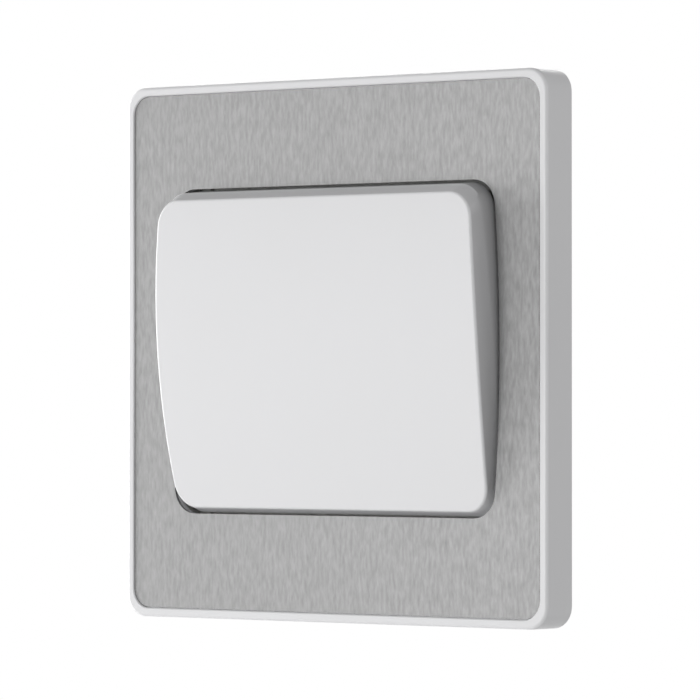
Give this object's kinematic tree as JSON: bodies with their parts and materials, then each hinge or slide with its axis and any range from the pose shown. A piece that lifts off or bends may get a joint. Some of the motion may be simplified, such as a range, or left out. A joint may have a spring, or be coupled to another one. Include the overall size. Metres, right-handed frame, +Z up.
{
  "type": "wide rocker light switch",
  "caption": "Square wall light switch: a wide white rocker in a clip-on white surround with a brushed steel fascia, on a screwed mounting frame with its changeover mechanism behind.",
  "frame": {"origin": "midway between the two fixing holes, on the wall face at the back of the mounting frame", "axes": "+X to the right as seen from the room, +Y into the wall, +Z up; the front faces -Y"},
  "size_m": [0.095, 0.0342, 0.095],
  "materials": {
    "white_moulding": "moulded, satin gloss",
    "steel_sheet": "brushed up and down",
    "frame_moulding": "moulded, fine matt",
    "mechanism_moulding": "moulded, matt",
    "cradle_moulding": "moulded, matt",
    "spring_wire": "drawn wire",
    "contact_strip": "stamped and bright",
    "silver_tip": "silver, dull",
    "terminal_brass": "machined, bright",
    "plated_screw": "zinc plated",
    "tinned_strap": "tinned"
  },
  "bodies": {
    "base": {"front_surround": "white_moulding", "steel_fascia": "steel_sheet", "mounting_frame": "frame_moulding", "mechanism_housing": "mechanism_moulding", "mechanism_cover": "mechanism_moulding", "common_bridge": "contact_strip", "fixed_contact_l1": "contact_strip", "fixed_contact_l2": "contact_strip", "l1_contact_tip": "silver_tip", "l2_contact_tip": "silver_tip", "terminal_block_l1": "terminal_brass", "terminal_block_l2": "terminal_brass", "terminal_block_common": "terminal_brass", "earth_terminal": "terminal_brass", "terminal_screw_l1": "plated_screw", "terminal_screw_l2": "plated_screw", "terminal_screw_common": "plated_screw", "earth_screw": "plated_screw", "cover_screws": "plated_screw", "earth_strap": "tinned_strap"},
    "rocker": {"rocker_paddle": "white_moulding", "rocker_cradle": "cradle_moulding", "plunger_spring": "spring_wire"},
    "plunger": {"plunger": "cradle_moulding"},
    "contact": {"rocking_contact": "contact_strip", "upper_moving_tip": "silver_tip", "lower_moving_tip": "silver_tip"}
  },
  "joints": [
    {"name": "rocker_tilt", "type": "hinge", "parent": "base", "child": "rocker", "pos_m": [0, -0.0042, 0], "axis": [1, 0, 0], "range_deg": [-11.16, 0]},
    {"name": "plunger_slide", "type": "slide", "parent": "rocker", "child": "plunger", "axis": [0, -0.9953, -0.0972], "range_m": [0, 0.0012], "stiffness_N_per_m": 500, "springref_m": -0.002, "deforming": ["plunger_spring"]},
    {"name": "contact_rock", "type": "hinge", "parent": "base", "child": "contact", "pos_m": [0, 0.0079, 0], "axis": [1, 0, 0], "range_deg": [0, 16.75]}
  ],
  "couplings": [
    {"joint": "contact_rock", "follows": "rocker_tilt", "ratio": -1.5}
  ]
}
